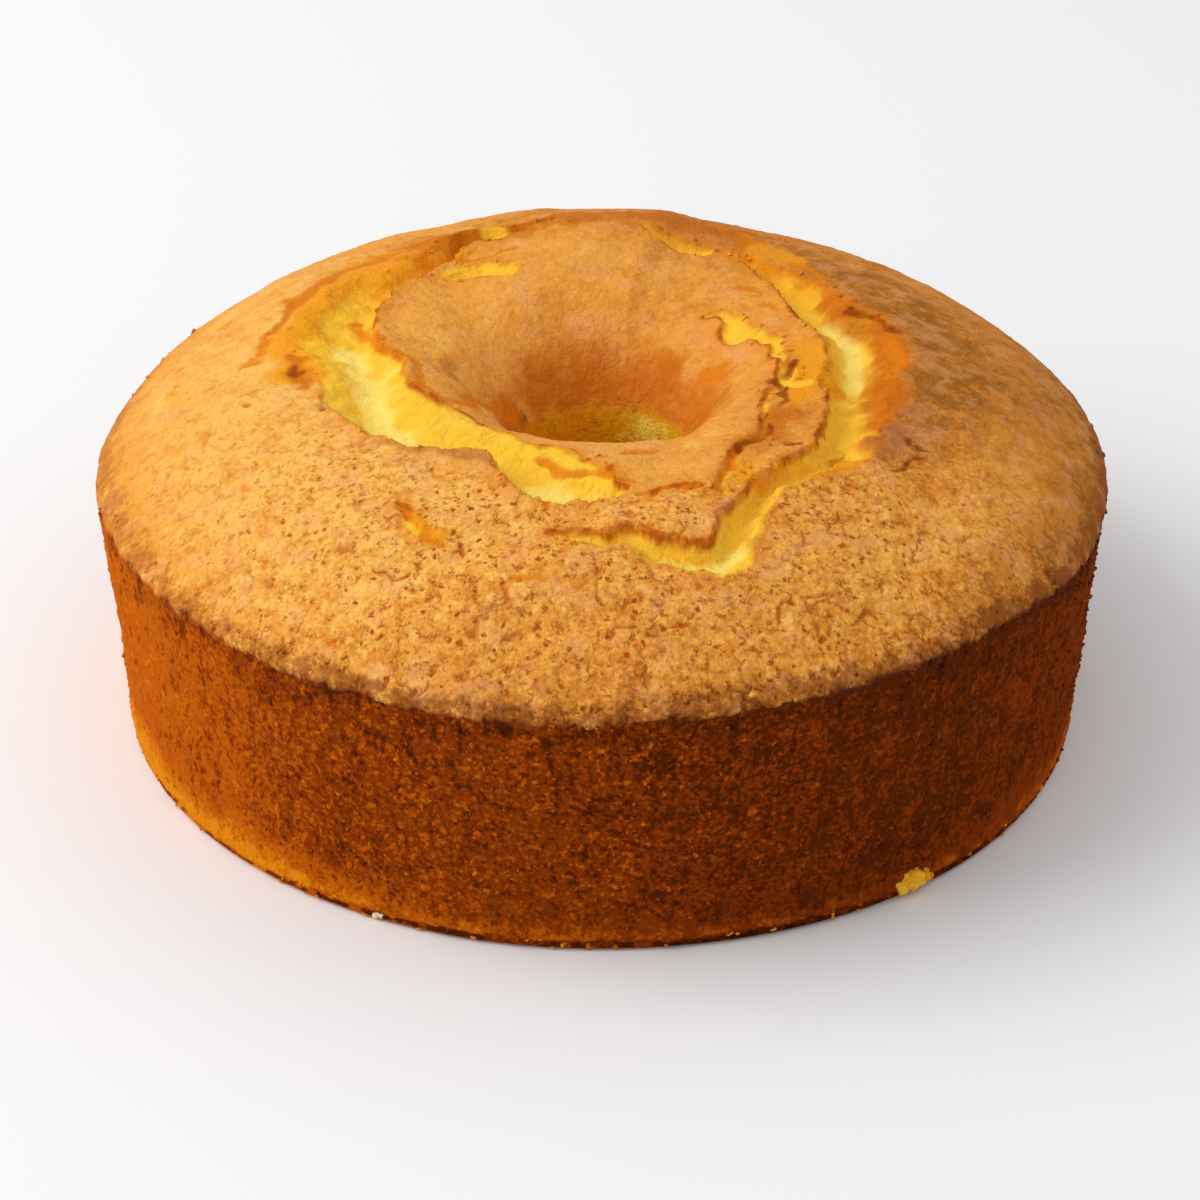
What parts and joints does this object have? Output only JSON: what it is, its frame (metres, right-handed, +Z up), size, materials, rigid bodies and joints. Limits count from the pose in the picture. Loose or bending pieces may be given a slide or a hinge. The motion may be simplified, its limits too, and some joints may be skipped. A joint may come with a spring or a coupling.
{
  "type": "ring cake",
  "caption": "Round risen cake with a funnel-shaped hole through the middle, a browned side and a torn top crust.",
  "frame": {"origin": "middle of the flat base, on the surface the cake stands on", "axes": "+Z up along the hole; -Y is the front, where the top crust has a hook-shaped tear; +X is right seen from the front"},
  "size_m": [0.2396, 0.24, 0.0923],
  "materials": {
    "baked_crust": "matte golden baked crust, darker on the side, with yellow crumb where the top has torn"
  },
  "bodies": {
    "root": {"cake": "baked_crust"}
  },
  "joints": []
}
